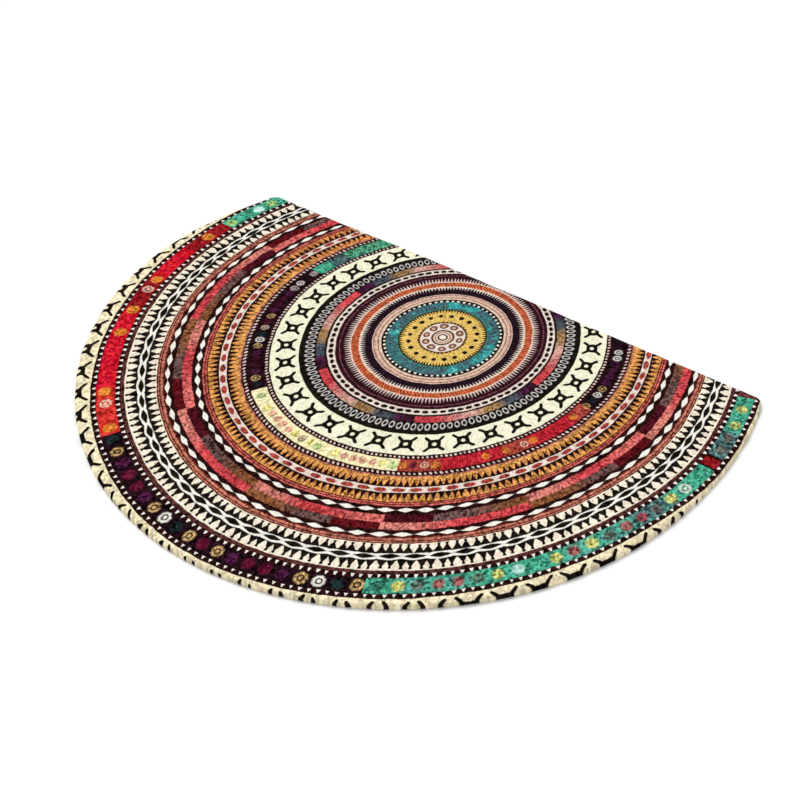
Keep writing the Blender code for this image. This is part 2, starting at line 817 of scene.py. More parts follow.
@dataclass(frozen=True)
class BlockRow:
    """A ring of equal blocks whose inks repeat, some of them running softly into the next."""

    inner: float
    outer: float
    start: float
    """The direction where the first block begins."""
    step: float
    """A block's width, in degrees."""
    many: int
    """How many blocks there are before they repeat."""
    inks: tuple[tuple[float, Ink], ...]
    """The ink at each of some places, which are counted in blocks. Between them it runs evenly."""
    seed: float
    """Sets the row's chance values apart from other rows'."""
    darkest: float = 0.9
    """The darkest block's tone."""
    lighter: float = 0.2
    """How much lighter than that the lightest one is."""

    def paint(self, rings: RoundPrint, colour: Wire) -> Wire:
        """Lays the blocks over the print so far, each a little lighter or darker than the next of its ink.

        Args:
            rings: The print's radius and turn.
            colour: The print so far.

        Returns:
            The print with the blocks on it.
        """
        loom = rings.loom
        place = (rings.turn - self.start / FULL_TURN) * (FULL_TURN / self.step)
        lap = place * (1.0 / self.many)
        stops = [(block / self.many, ink.linear) for block, ink in self.inks]
        blocks, _ = loom.ramp(lap - math.floor(lap), stops, "LINEAR")
        tone = self.darkest + loom.dice(math.floor(place), self.seed)[0] * self.lighter
        toned = loom.node("ShaderNodeHueSaturation", {}, {"Value": tone, "Color": blocks})
        return loom.mix(rings.between(self.inner, self.outer), colour, Wire(loom, toned.outputs[0]))


@dataclass(frozen=True)
class SectorRow:
    """A ring of long sectors, each from its direction on."""

    inner: float
    outer: float
    first: Ink
    """The ink before the first of the sectors."""
    sectors: tuple[tuple[float, Ink], ...]
    """The direction where each begins, and its ink."""

    def paint(self, rings: RoundPrint, colour: Wire) -> Wire:
        """Lays the sectors over the print so far.

        Args:
            rings: The print's radius and turn.
            colour: The print so far.

        Returns:
            The print with the sectors on it.
        """
        ring: Wire | Ink = self.first
        for direction, ink in self.sectors:
            ring = rings.loom.mix(rings.turned(direction), ring, ink)
        return rings.loom.mix(rings.between(self.inner, self.outer), colour, ring)


@dataclass(frozen=True)
class MottledRow:
    """A stretch of a ring where several inks drift into each other."""

    inner: float
    outer: float
    begin: float
    """The direction where it begins."""
    end: float
    """The direction where it ends."""
    inks: tuple[Ink, ...]
    grain: float = 0.016
    """The size of the drifts, in metres."""
    detail: float = 3.0
    """How many finer layers they have."""
    roughness: float = 0.75
    """How strong those layers are."""
    lowest: float = 0.3
    """The noise at which the first ink stands alone."""
    highest: float = 0.7
    """The noise at which the last ink does."""

    def paint(self, rings: RoundPrint, colour: Wire) -> Wire:
        """Lays the stretch over the print so far.

        Args:
            rings: The print's radius and turn.
            colour: The print so far.

        Returns:
            The print with the stretch on it.
        """
        loom = rings.loom
        cloud = loom.cloud(rings.place, self.grain, self.detail, self.roughness)
        drift = loom.rise(cloud, self.lowest, self.highest)
        stops = [(i / (len(self.inks) - 1), ink.linear) for i, ink in enumerate(self.inks)]
        mottled, _ = loom.ramp(drift, stops, "LINEAR")
        mask = rings.between(self.inner, self.outer) * (rings.turned(self.begin) - rings.turned(self.end))
        return loom.mix(mask, colour, mottled)


class Bloom(Enum):
    """The rosettes' inks by the letter that stands for them in a row, with how open each is."""

    T = (Ink.TAN, 1.0)
    W = (Ink.WHITE, 1.0)
    O = (Ink.AMBER, 0.7)
    K = (Ink.PEACH, 1.0)
    Y = (Ink.YELLOW, 0.6)
    G = (Ink.GREEN, 0.5)
    U = (Ink.RUST, 0.8)
    C = (Ink.WINE, 0.5)
    N = (Ink.CRANBERRY, 0.5)
    P = (Ink.PURPLE, 0.5)
    D = (Ink.DARK_TEAL, 0.7)
    S = (Ink.GREY_MAUVE, 0.7)
    B = (Ink.PALE_BLUE, 0.5)
    R = (Ink.SALMON, 0.5)
    M = (Ink.DEEP_WINE, 0.5)
    L = (Ink.LILAC_WHITE, 0.8)

    @property
    def stop(self) -> Colour:
        """The ink with the rosette's openness as its alpha."""
        return *self.value[0].linear[:3], self.value[1]


@dataclass(frozen=True)
class Flower:
    """The round flower that all rosettes share: wavy at its edge, with a faint ring inside it."""

    wander: float = 1.5
    """How far they may wander along the ring and across it, from side to side."""
    petals: float = 8.0
    petal_turn: float = 6.0
    """How far a flower may be turned, in radians of its wave."""
    petal_depth: float = 0.04
    """How deep the wave is, as a share of the flower's radius."""
    smallest: float = 1.06
    """The smallest flower's factor on the distances from its middle."""
    larger: float = 0.12
    """How much less the largest one's factor is."""
    edge_blur: float = 0.4
    """How soft its edge is, as a share of its radius."""
    gap_radius: float = 0.47
    """The radius of the ring inside it, in the same measure."""
    gap_half: float = 0.15
    """Half that ring's width."""
    gap_blur: float = 0.22
    """How soft its edges are."""

    def masks(self, loom: Loom, cell: Cell, half_along: float, half_out: float) -> tuple[Wire, Wire]:
        """Draws one flower in a cell.

        Args:
            loom: The material that is being built.
            cell: The point's place in its cell.
            half_along: Half the flower's width along the ring, in millimetres.
            half_out: Half its width outward.

        Returns:
            1 inside the whole flower, and 1 on the ring inside it.
        """
        along = cell.along + cell.nudge(0, self.wander)
        out = cell.out + cell.nudge(1, self.wander)
        reach = loom.length(along * (1.0 / half_along), out * (1.0 / half_out))
        wave = loom.math("ARCTAN2", along, out) * self.petals + cell.chance[0] * self.petal_turn
        wave = loom.math("SINE", wave) * self.petal_depth
        reach = reach * (self.smallest - cell.chance[2] * self.larger) + wave
        disc = loom.within(reach - 1.0, self.edge_blur)
        return disc, loom.within(abs(reach - self.gap_radius) - self.gap_half, self.gap_blur)


@dataclass(frozen=True)
class RosetteRow:
    """Rosettes round a ring, in the order that a short line of letters gives. A dot leaves a place empty."""

    radius: float
    first: float
    """The direction of the first rosette."""
    step: float
    """The degrees from one rosette to the next."""
    order: str
    half_along: float
    half_out: float
    seed: float
    """Sets the row's chance values apart from other rows'."""
    strength: float = 1.0
    """How much of the ink shows."""
    flower: Flower = field(default_factory=Flower)
    most_stops: int = 24
    """How many rosettes one ramp holds."""
    empty: float = 0.1
    """The openness up to which a place is empty."""
    closed: float = 0.5
    """The openness of a flower whose inner ring doesn't show. It shows most at 1."""

    def paint(self, rings: RoundPrint, colour: Wire) -> Wire:
        """Lays the rosettes over the print so far.

        Args:
            rings: The print's radius and turn.
            colour: The print so far.

        Returns:
            The print with the rosettes on it.
        """
        loom = rings.loom
        letters = self.order.replace(" ", "")
        cell = rings.cells(self.radius, FULL_TURN / self.step, self.first, self.seed)
        disc, gap = self.flower.masks(loom, cell, self.half_along, self.half_out)
        for begin in range(0, len(letters), self.most_stops):
            part = letters[begin : begin + self.most_stops]
            stops = [(i / len(part), self.stop(letter)) for i, letter in enumerate(part)]
            place = (cell.number + (0.5 - begin)) * (1.0 / len(part))
            ink, openness = loom.ramp(place, stops)
            held = (place > 0.0) * (place < 1.0) * (openness > self.empty)
            hollow = loom.rise(openness, self.closed, 1.0)
            colour = loom.mix(held * disc * (1.0 - gap * hollow) * self.strength, colour, ink)
        return colour

    @staticmethod
    def stop(letter: str) -> Colour:
        """The ramp's colour for a letter, clear for a dot."""
        return CLEAR if letter == "." else Bloom[letter].stop


RINGS: tuple[tuple[float, Ink], ...] = (
    (4.7, Ink.COCOA),
    (7.2, Ink.BLUSH),
    (9.4, Ink.UMBER),
    (10.8, Ink.SAND),
    (13.6, Ink.COCOA),
    (16.4, Ink.BLUSH),
    (31.2, Ink.COCOA),
    (33.2, Ink.STRAW),
    (60.2, Ink.BLACK),
    (61.8, Ink.TURQUOISE),
    (78.2, Ink.BLACK),
    (84.8, Ink.PEACH),
    (87.2, Ink.SAND),
    (88.4, Ink.UMBER),
    (90.0, Ink.SAND),
    (92.4, Ink.BLUSHING_SAND),
    (94.6, Ink.MAUVE),
    (95.8, Ink.SAND),
    (97.4, Ink.DUSK),
    (113.0, Ink.PEACH),
    (115.8, Ink.ORANGE),
    (125.4, Ink.PEACH),
    (127.4, Ink.PLUM),
    (141.4, Ink.MAUVE),
    (142.6, Ink.PLUM),
    (148.0, Ink.BLUSH),
    (158.8, Ink.BLACK),
    (197.2, Ink.PALE_CREAM),
    (236.2, Ink.DARK_BROWN),
    (273.4, Ink.CLAY),
    (275.8, Ink.HONEY),
    (280.0, Ink.GOLD),
    (290.4, Ink.BLACK),
    (292.4, Ink.BLUSH),
    (302.6, Ink.BLACK),
    (304.4, Ink.GOLD),
    (313.6, Ink.HONEY),
    (316.8, Ink.RUST),
    (318.6, Ink.ROSE_CLAY),
    (320.4, Ink.RUST),
    (321.9, Ink.ROSE_CLAY),
    (324.3, Ink.DARK_BROWN),
    (373.2, Ink.RUST),
    (375.6, Ink.CLAY),
    (379.0, Ink.RUST),
    (380.6, Ink.CLAY),
    (382.2, Ink.RUST),
    (384.0, Ink.TOOTH_CREAM),
    (396.4, Ink.BLACK),
    (410.4, Ink.TOOTH_CREAM),
    (425.0, Ink.DARK_BROWN),
    (426.2, Ink.BROWN),
    (427.2, Ink.DARK_BROWN),
    (428.4, Ink.BROWN),
    (429.4, Ink.DARK_BROWN),
    (467.6, Ink.WARM_CREAM),
)
"""Each plain ring's inner radius and ink, from the centre outward. The centre itself is cream."""

OUTER_BAND = (436.3, 459.9)
"""The inner and the outer radius of the outer ring of sectors."""
INNER_BAND = (244.2, 265.0)
"""The same of the inner one."""

SECTORS: tuple[SectorRow, ...] = (
    SectorRow(
        *OUTER_BAND, first=Ink.BROWN,
        sectors=(
            (-16.0, Ink.TEAL), (-7.0, Ink.BLUE_TEAL), (-0.6, Ink.DARK_BROWN), (0.0, Ink.DARK_RED),
            (1.9, Ink.DARK_BROWN), (2.3, Ink.TEAL), (62.0, Ink.BLACK_PLUM), (122.5, Ink.SCARLET),
            (133.5, Ink.RED), (155.0, Ink.DARK_RED), (163.5, Ink.RED), (174.0, Ink.DARK_RED),
            (183.8, Ink.TEAL),
        ),
    ),
    SectorRow(
        *INNER_BAND, first=Ink.BLACK_PLUM,
        sectors=(
            (2.0, Ink.BRICK), (8.0, Ink.CRIMSON), (24.0, Ink.BRICK), (32.5, Ink.CRIMSON), (51.0, Ink.BRICK),
            (63.4, Ink.PALE_YELLOW), (122.6, Ink.BLACK_PLUM), (183.9, Ink.TEAL),
        ),
    ),
)
"""The two rings that are cut into sectors."""

MOTTLES: tuple[MottledRow, ...] = (
    MottledRow(
        *OUTER_BAND, begin=-7.0, end=-0.6,
        inks=(Ink.DEEP_SLATE, Ink.BLUE_TEAL, Ink.DEEP_SLATE, Ink.SEA_TEAL),
    ),
    MottledRow(*OUTER_BAND, begin=11.0, end=19.0, inks=(Ink.TEAL, Ink.BLUE_TEAL, Ink.DEEP_SLATE, Ink.TEAL)),
    MottledRow(*OUTER_BAND, begin=19.0, end=31.0, inks=(Ink.TEAL, Ink.BLUE_TEAL, Ink.TEAL, Ink.BLUE_TEAL)),
    MottledRow(*OUTER_BAND, begin=46.0, end=57.0, inks=(Ink.BLUE_TEAL, Ink.TEAL, Ink.BLUE_TEAL, Ink.TEAL)),
    MottledRow(
        inner=275.8, outer=290.4, begin=180.0, end=230.0, inks=(Ink.GOLD, Ink.COPPER, Ink.GOLD, Ink.COPPER),
    ),
    MottledRow(
        inner=304.4, outer=316.8, begin=180.0, end=230.0, inks=(Ink.GOLD, Ink.COPPER, Ink.GOLD, Ink.COPPER),
    ),
    MottledRow(*INNER_BAND, begin=190.0, end=196.0, inks=(Ink.SEA_TEAL, Ink.DEEP_SLATE, Ink.SHADOW_TEAL)),
    MottledRow(
        *INNER_BAND, begin=196.0, end=230.0,
        inks=(Ink.SEA_TEAL, Ink.LEAF_TEAL, Ink.SEA_TEAL, Ink.LEAF_TEAL),
    ),
    MottledRow(
        inner=64.0, outer=78.2, begin=-90.0, end=270.0,
        inks=(Ink.SHADOW_TEAL, Ink.LAGOON, Ink.DEEP_SLATE, Ink.BRIGHT_TURQUOISE, Ink.LIGHT_TURQUOISE),
        grain=0.026,
    ),
)
"""The stretches of plain rings and sectors where inks drift into each other."""

BLOCKS: tuple[BlockRow, ...] = (
    BlockRow(
        inner=350.6, outer=362.4, start=2.3, step=10.09, many=6, seed=11.0,
        inks=(
            (0.0, Ink.MAROON), (0.99, Ink.MAROON), (1.01, Ink.GREY_MAUVE), (1.6, Ink.GREY_MAUVE),
            (2.3, Ink.OLIVE), (2.97, Ink.OLIVE), (3.05, Ink.ROSE), (4.5, Ink.ROSE), (5.4, Ink.SALMON),
            (6.0, Ink.SALMON),
        ),
    ),
    BlockRow(
        inner=338.2, outer=350.6, start=-8.2, step=10.09, many=6, seed=12.0,
        inks=(
            (0.0, Ink.DEEP_MAROON), (0.99, Ink.DEEP_MAROON), (1.01, Ink.CORAL), (1.5, Ink.CORAL),
            (2.3, Ink.ROSE), (2.8, Ink.ROSE), (3.4, Ink.SALMON), (3.97, Ink.SALMON), (4.05, Ink.OLIVE),
            (4.5, Ink.OLIVE), (5.2, Ink.GREY_MAUVE), (6.0, Ink.GREY_MAUVE),
        ),
    ),
    BlockRow(
        inner=162.0, outer=174.2, start=3.0, step=10.08, many=6, seed=13.0,
        inks=(
            (0.0, Ink.PLUM), (0.8, Ink.PURPLE), (1.2, Ink.DEEP_SLATE), (1.7, Ink.DEEP_SLATE),
            (2.2, Ink.BRONZE), (2.8, Ink.BRONZE), (3.3, Ink.BLUSHING_SAND), (4.2, Ink.DUSTY_PINK),
            (5.0, Ink.ROSE), (6.0, Ink.ROSE),
        ),
    ),
)
"""The rings of blocks."""

ROSETTES: tuple[RosetteRow, ...] = (
    RosetteRow(
        radius=448.1, first=-13.0, step=4.2, half_along=7.0, half_out=7.4, seed=20.0, strength=0.7,
        order="YY",
    ),
    RosetteRow(
        radius=448.1, first=-5.5, step=3.2, half_along=7.4, half_out=7.7, seed=24.0, strength=0.8,
        order="SS",
    ),
    RosetteRow(
        radius=448.1, first=8.15, step=3.05, half_along=7.5, half_out=7.8, seed=21.0, strength=0.75,
        order="WYSNNSYNY. BYSNNSYD",
    ),
    RosetteRow(
        radius=448.1, first=63.05, step=3.05, half_along=7.9, half_out=8.2, seed=22.0,
        order="TDWTPCCPTC TDWTPCCPTD O.KO....O.O.KO....O. G.BG",
    ),
    RosetteRow(
        radius=254.6, first=-25.3, step=3.01, half_along=5.4, half_out=6.0, seed=23.0, strength=0.75,
        order="WWPPPPTWDT .O....OK.O .O....OKCO GYRRRRY.GY UYRRRRY.G. DTPMMPTWDK MTPMMP.W",
    ),
    RosetteRow(
        radius=254.6, first=173.4, step=9.0, half_along=5.4, half_out=6.0, seed=25.0, strength=0.75,
        order="LL",
    ),
)
"""The rosettes on the two rings of sectors."""

MOTIFS: tuple[Motif, ...] = (
    Crosses(
        radius=487.3, count=70.0, ink=Ink.BLACK, at=15.6, seed=31.0,
        half_along=17.6, half_out=16.2, arm=2.3, hub=9.3, hole=3.3,
    ),
    Dots(radius=463.0, count=252.0, ink=Ink.WHITE, seed=32.0, half_along=2.4, half_out=2.1, taper=0.9),
    Dots(radius=433.4, count=250.0, ink=Ink.WHITE, at=90.4, seed=33.0, half_along=2.6, taper=0.6),
    Teeth(radius=410.4, count=106.7, ink=Ink.BLACK, seed=34.0, height=12.6),
    Lozenges(
        radius=403.4, count=83.0, ink=Ink.WHITE, at=89.7, seed=35.0,
        half_out=2.2, swell=1.5, line=4.0,
    ),
    Lozenges(radius=403.4, count=83.0, ink=Ink.BLACK, at=89.7, seed=35.0, reach=0.46, swell=1.4),
    Teeth(radius=396.4, count=106.7, ink=Ink.BLACK, at=90.8, seed=36.0, height=-11.4),
    Lozenges(
        radius=369.6, count=83.4, ink=Ink.WHITE, at=92.5, seed=37.0,
        half_out=3.5, reach=0.44, swell=1.35,
    ),
    Lozenges(
        radius=330.6, count=83.5, ink=Ink.WHITE, at=88.6, seed=38.0,
        half_out=3.5, reach=0.44, swell=1.35,
    ),
    Teeth(
        radius=304.4, count=108.5, ink=Ink.DARK_BROWN, seed=39.0,
        height=10.6, base=0.42, stem=0.1, knob=0.0, slope=1.0, pair=0.03,
    ),
    Dots(
        radius=297.6, count=83.3, ink=Ink.BRICK, at=87.2, seed=40.0,
        half_along=8.2, half_out=3.6, unevenness=0.15,
    ),
    Teeth(
        radius=290.4, count=108.5, ink=Ink.DARK_BROWN, at=90.2, seed=41.0,
        height=-9.8, base=0.42, stem=0.1, knob=0.0, slope=1.0, pair=0.03,
    ),
    Dots(radius=269.4, count=249.0, ink=Ink.PINK_WHITE, seed=42.0, half_along=1.6, half_out=2.2, lean=0.4),
    Dots(radius=240.2, count=249.0, ink=Ink.PINK_WHITE, seed=43.0, half_along=1.5, half_out=1.9, lean=0.2),
    Crosses(
        radius=216.0, count=36.2, ink=Ink.BLACK, at=93.2, seed=44.0,
        half_along=13.8, half_out=14.0, arm=2.4, hub=8.4,
    ),
    Chain(radius=182.6, count=119.0, ink=Ink.CHAIN_GREY, seed=45.0, half_out=6.6, wall=0.2),
    Dots(
        radius=153.4, count=83.7, ink=Ink.BLACK, at=85.0, seed=46.0,
        half_along=4.7, half_out=3.0, unevenness=0.15,
    ),
    Teeth(
        radius=127.4, count=88.0, ink=Ink.PINK_WHITE, seed=47.0,
        height=8.0, base=0.3, stem=0.08, knob=0.0, slope=0.85, pair=0.0,
    ),
    Strokes(radius=120.6, count=150.0, ink=Ink.MAROON, seed=48.0),
    Teeth(
        radius=113.0, count=78.0, ink=Ink.BLUSH, seed=49.0,
        height=-5.6, base=0.3, stem=0.05, knob=0.0, slope=0.95, pair=0.0,
    ),
    Dots(radius=80.6, count=62.0, ink=Ink.WHITE, seed=50.0, half_along=1.9, half_out=1.7),
    Teeth(
        radius=60.2, count=44.0, ink=Ink.BLACK, seed=51.0,
        height=-5.5, base=0.4, stem=0.1, knob=0.0, slope=0.9, pair=0.0,
    ),
    Dots(
        radius=47.1, count=20.0, ink=Ink.BLACK, at=84.0, seed=52.0,
        half_along=3.5, half_out=3.5, unevenness=0.2,
    ),
    Dots(radius=33.6, count=38.0, ink=Ink.COCOA, seed=53.0, half_along=1.9, half_out=1.7),
    Dots(radius=24.4, count=10.0, ink=Ink.COCOA, seed=54.0, half_along=5.9, half_out=5.2, unevenness=0.2),
    Dots(radius=24.4, count=10.0, ink=Ink.UMBER, seed=54.0, half_along=4.6, half_out=3.9, unevenness=0.2),
    Dots(radius=24.4, count=10.0, ink=Ink.SAND, seed=54.0, half_along=2.2, half_out=1.7, unevenness=0.2),
)
"""The rows of small motifs, from the rim inward."""


@dataclass(frozen=True)
class Flecks:
    """The light and dark flecks of a printed pile, strong in full colours and faint in pale ones."""

    grain: float = 2.2
    """A fleck's width, in millimetres."""
    stretch: float = 1.6
    """How much longer it is outward than along the rings."""
    radius: float = 330.0
    """The radius where the flecks have that width."""
    full: float = 0.9
    """How strong they are in a full colour."""
    pale: float = 0.09
    """How strong they are in cream and grey."""
    pale_power: float = 2.0
    """How much sooner than evenly they get faint from a full colour to a pale one."""
    own_share: float = 0.8
    """How much of a fleck's tone is its own. It shares the rest with its neighbours."""
    soft_grain: float = 1.6
    """The size of the shared tones, in flecks."""
    soft_roughness: float = 0.7
    soft_range: Point = (0.36, 0.64)
    """The noise at which the shared tone is darkest and lightest."""
    lift: float = 1.3
    """How much stronger than that all of them are in a colour that isn't the purest."""
    calm: float = 0.65
    """How much of that the purest colours lose."""
    calm_power: float = 8.0
    """How close to the purest a colour has to be for it."""
    darkest: float = -0.95
    """The most that a fleck takes off its colour's value."""
    drift: float = 0.014
    """How far the hue drifts, as a share of the colour circle."""
    drift_grain: float = 0.005
    """The size of those drifts, in metres."""
    fade: float = 0.05
    """How much saturation a light fleck loses for each step up in value."""
    painted_sheen: float = 0.008
    # Painted sheen: how much sand colour is laid over the lightest flecks of the darkest inks.
    """How much sand colour shows on the lightest flecks of the darkest inks."""

    def lay(self, rings: RoundPrint, colour: Wire) -> Wire:
        """Lays the flecks over the print, with a faint painted sheen on the lightest flecks of the dark inks.

        Args:
            rings: The print's radius and turn.
            colour: The print so far.

        Returns:
            The print with the flecks in it.
        """
        loom = rings.loom
        parts = loom.node("ShaderNodeSeparateColor", {"mode": "HSV"}, {0: colour})
        fullness, value = (Wire(loom, parts.outputs[i]) for i in (1, 2))
        tone = self._tone(rings)
        drift = loom.cloud(rings.place, self.drift_grain)
        colourful = (1.0 - value * (1.0 - fullness)) ** self.pale_power
        strong = colourful * (self.full - self.pale) + self.pale
        calmed = strong * (self.lift - fullness**self.calm_power * self.calm)
        swing = loom.most((tone - 0.5) * 2.0 * calmed, self.darkest)
        values = {
            "Hue": 0.5 + (drift - 0.5) * self.drift,
            "Saturation": 1.0 - loom.most(swing, 0.0) * self.fade,
            "Value": 1.0 + swing,
            "Color": colour,
        }
        flecked = Wire(loom, loom.node("ShaderNodeHueSaturation", {}, values).outputs[0])
        # Painted sheen: sand colour laid over the lightest flecks of the dark inks.
        return loom.mix(tone * (1.0 - value) * self.painted_sheen, flecked, Ink.SAND)

    def _tone(self, rings: RoundPrint) -> Wire:
        """Each fleck's tone.

        Args:
            rings: The print's radius and turn.

        Returns:
            0 in the darkest fleck and 1 in the lightest.
        """
        loom = rings.loom
        along = rings.turn * (2.0 * math.pi * self.radius)
        out = rings.radius * (1.0 / self.stretch)
        place = Wire(loom, loom.node("ShaderNodeCombineXYZ", {}, {0: along, 1: out}).outputs[0])
        values = {"Vector": place, "Scale": 1.0 / self.grain}
        tufts = loom.node("ShaderNodeTexVoronoi", {"voronoi_dimensions": "2D"}, values)
        tones = loom.node("ShaderNodeSeparateColor", {}, {0: Wire(loom, tufts.outputs["Color"])})
        cloud = loom.cloud(place, self.soft_grain * self.grain, 1.0, self.soft_roughness)
        soft = loom.rise(cloud, *self.soft_range)
        return Wire(loom, tones.outputs[0]) * self.own_share + soft * (1.0 - self.own_share)


@dataclass(frozen=True)
class PrintedPlush:
    """Short matt plush with the print's rings, blocks and motifs in it."""

    plan: PrintPlan = field(default_factory=PrintPlan)
    flecks: Flecks = field(default_factory=Flecks)
    pile_grain: float = 0.0017
    """The size of the pile's tufts, in metres."""
    pile_detail: float = 2.0
    """How many finer layers they have."""
    pile_roughness: float = 0.6
    """How strong those layers are."""
    lump_size: float = 5.0
    """The size of the pile's lumps, in tufts."""
    tuft_share: float = 0.6
    """How much of the bump the tufts are. The lumps are the rest."""
    pile_depth: float = 0.0007
    """How deep the bump is, in metres."""
    least_roughness: float = 0.86
    roughness_spread: float = 0.14
    """How much rougher than that the tips of the tufts are."""
    gloss: float = 0.0

    def material(self) -> bpy.types.Material:
        """Builds the material.

        Returns:
            The material.
        """
        loom = Loom("printed_plush")
        rings = RoundPrint(loom, self.plan)
        colour = self._rings(rings)
        for row in (*SECTORS, *MOTTLES, *BLOCKS, *ROSETTES, *MOTIFS):
            colour = row.paint(rings, colour)
        colour = self.flecks.lay(rings, colour)
        tufts = loom.cloud(rings.place, self.pile_grain, self.pile_detail, self.pile_roughness)
        lumps = loom.cloud(rings.place, self.lump_size * self.pile_grain)
        inputs = {
            "Base Color": colour,
            "Roughness": self.least_roughness + tufts * self.roughness_spread,
            "Specular IOR Level": self.gloss,
        }
        relief = tufts * self.tuft_share + lumps * (1.0 - self.tuft_share)
        return loom.finish(inputs, relief, self.pile_depth)

    @staticmethod
    def _rings(rings: RoundPrint) -> Wire:
        """Lays the plain rings over the centre's cream.

        Args:
            rings: The print's radius and turn.

        Returns:
            The print with its plain rings.
        """
        colour: Wire | Ink = Ink.TOOTH_CREAM
        for radius, ink in RINGS:
            colour = rings.loom.mix(rings.past(radius), colour, ink)
        return colour


@dataclass(frozen=True)
class PlainUnderside:
    """The mat's unprinted underside: a fine pale weave."""

    pitch: float = 0.0016
    """The distance between threads, in metres."""
    depth: float = 0.0003
    """How deep the bump of the weave is, in metres."""
    weave_tint: float = 0.16
    """How much tan the raised threads show."""
    patch_tint: float = 0.14
    """How much more of it the darkest patches show."""
    patch_grain: float = 0.02
    """The size of those patches, in metres."""
    patch_detail: float = 2.0
    """How many finer layers they have."""
    least_roughness: float = 0.9
    roughness_spread: float = 0.08
    """How much rougher than that the raised threads are."""
    gloss: float = 0.2

    def material(self) -> bpy.types.Material:
        """Builds the material.

        Returns:
            The material.
        """
        loom = Loom("plain_underside")
        place = loom.place()
        parts = loom.node("ShaderNodeSeparateXYZ", {}, {0: place})
        turns = 2.0 * math.pi / self.pitch
        threads = [loom.math("SINE", Wire(loom, parts.outputs[i]) * turns) for i in (0, 1)]
        weave = threads[0] * threads[1] * 0.5 + 0.5
        patches = loom.cloud(place, self.patch_grain, self.patch_detail)
        colour = loom.mix(weave * self.weave_tint + patches * self.patch_tint, Ink.BACKING, Ink.TAN)
        inputs = {
            "Base Color": colour,
            "Roughness": self.least_roughness + weave * self.roughness_spread,
            "Specular IOR Level": self.gloss,
        }
        return loom.finish(inputs, weave, self.depth)


class Trim(NamedTuple):
    """How far inside its true outline the mat is cut in one direction from the circle's centre."""

    way: float
    """The direction."""
    inset: float
    """How far inside, in millimetres, or outside if below 0."""


@dataclass(frozen=True)
class Outline:
    """The mat's cut line: most of a circle, closed by a straight edge with two rounded corners."""

    radius: float
    depth: float
    corner: float = 0.015
    """The radius of the rounded corners."""
    trims: tuple[Trim, ...] = (
        Trim(way=-40.0, inset=0.0),
        Trim(way=-24.0, inset=-0.8),
        Trim(way=-16.0, inset=1.2),
        Trim(way=-10.0, inset=3.8),
        Trim(way=0.0, inset=4.6),
        Trim(way=10.0, inset=4.2),
        Trim(way=20.0, inset=2.6),
        Trim(way=32.0, inset=1.8),
        Trim(way=60.0, inset=2.0),
        Trim(way=105.0, inset=2.0),
        Trim(way=120.0, inset=1.4),
        Trim(way=135.0, inset=-0.4),
        Trim(way=150.0, inset=-3.2),
        Trim(way=160.0, inset=-4.4),
        Trim(way=176.0, inset=-4.2),
        Trim(way=184.0, inset=-1.4),
        Trim(way=192.0, inset=3.0),
        Trim(way=200.0, inset=7.0),
        Trim(way=206.0, inset=7.4),
        Trim(way=230.0, inset=0.0),
    )
    """Between two of them the inset runs softly from one to the next."""
    lowest_way: float = -90.0
    """The direction that the trims' directions are counted from, up to a full turn more."""

    @property
    def flat_y(self) -> float:
        """Where the straight edge lies."""
        return self.depth / 2

    @property
    def centre_y(self) -> float:
        """Where the circle's centre lies."""
        return self.radius - self.depth / 2

    @property
    def corner_centre(self) -> Point:
        """The centre of the right corner's rounding."""
        y = self.flat_y - self.corner
        return math.sqrt((self.radius - self.corner) ** 2 - (y - self.centre_y) ** 2), y

    @property
    def corner_angle(self) -> float:
        """The direction, from the circle's centre, where the right corner's rounding begins."""
        x, y = self.corner_centre
        return math.atan2(y - self.centre_y, x)

    @property
    def top_length(self) -> float:
        """Along the straight edge, from the middle of one rounded corner to the middle of the other."""
        return self.corner * (math.pi / 2 - self.corner_angle) + 2 * self.corner_centre[0]

    @property
    def whole_length(self) -> float:
        """All the way round."""
        corners = self.corner * (math.pi / 2 - self.corner_angle)
        return self.top_length + corners + self.radius * (math.pi + 2 * self.corner_angle)

    def at(self, distance: float) -> tuple[Vector, Vector]:
        """A point of the line along which the mat is cut, and the direction straight out of it there."""
        point, way = self._true(distance)
        return self._trimmed(point), way

    def _trimmed(self, point: Vector) -> Vector:
        """Moves a point of the true outline to where the mat is cut.

        Args:
            point: The point.

        Returns:
            The point of the cut line.
        """
        spoke = point - Vector((0.0, self.centre_y, 0.0))
        direction = math.degrees(math.atan2(-spoke.y, spoke.x))
        direction = (direction - self.lowest_way) % FULL_TURN + self.lowest_way
        for (first, low), (last, high) in zip(self.trims, self.trims[1:], strict=False):
            if first <= direction <= last:
                share = 0.5 - 0.5 * math.cos(math.pi * (direction - first) / (last - first))
                return point - spoke.normalized() * ((low + (high - low) * share) / MM_PER_METRE)
        return point

    def _true(self, distance: float) -> tuple[Vector, Vector]:
        """A point of the true outline.

        Args:
            distance: How far along the line, clockwise from the middle of the left corner.

        Returns:
            The point, and the direction straight out of the mat there.
        """
        x, y = self.corner_centre
        half_corner = self.corner * (math.pi / 2 - self.corner_angle) / 2
        half_angle = (math.pi / 2 - self.corner_angle) / 2
        distance = distance % self.whole_length
        if distance < half_corner:
            return self._round((-x, y), self.corner, math.pi / 2 + half_angle - distance / self.corner)
        distance -= half_corner
        if distance < 2 * x:
            return Vector((distance - x, self.flat_y, 0.0)), Vector((0.0, 1.0, 0.0))
        distance -= 2 * x
        if distance < 2 * half_corner:
            return self._round((x, y), self.corner, math.pi / 2 - distance / self.corner)
        distance -= 2 * half_corner
        arc = self.radius * (math.pi + 2 * self.corner_angle)
        if distance < arc:
            return self._round((0.0, self.centre_y), self.radius, self.corner_angle - distance / self.radius)
        distance -= arc
        return self._round((-x, y), self.corner, math.pi - self.corner_angle - distance / self.corner)

    @staticmethod
    def _round(centre: Point, radius: float, angle: float) -> tuple[Vector, Vector]:
        """A circle's point at an angle, and the outward direction there."""
        way = Vector((math.cos(angle), math.sin(angle), 0.0))
        return Vector((*centre, 0.0)) + way * radius, way


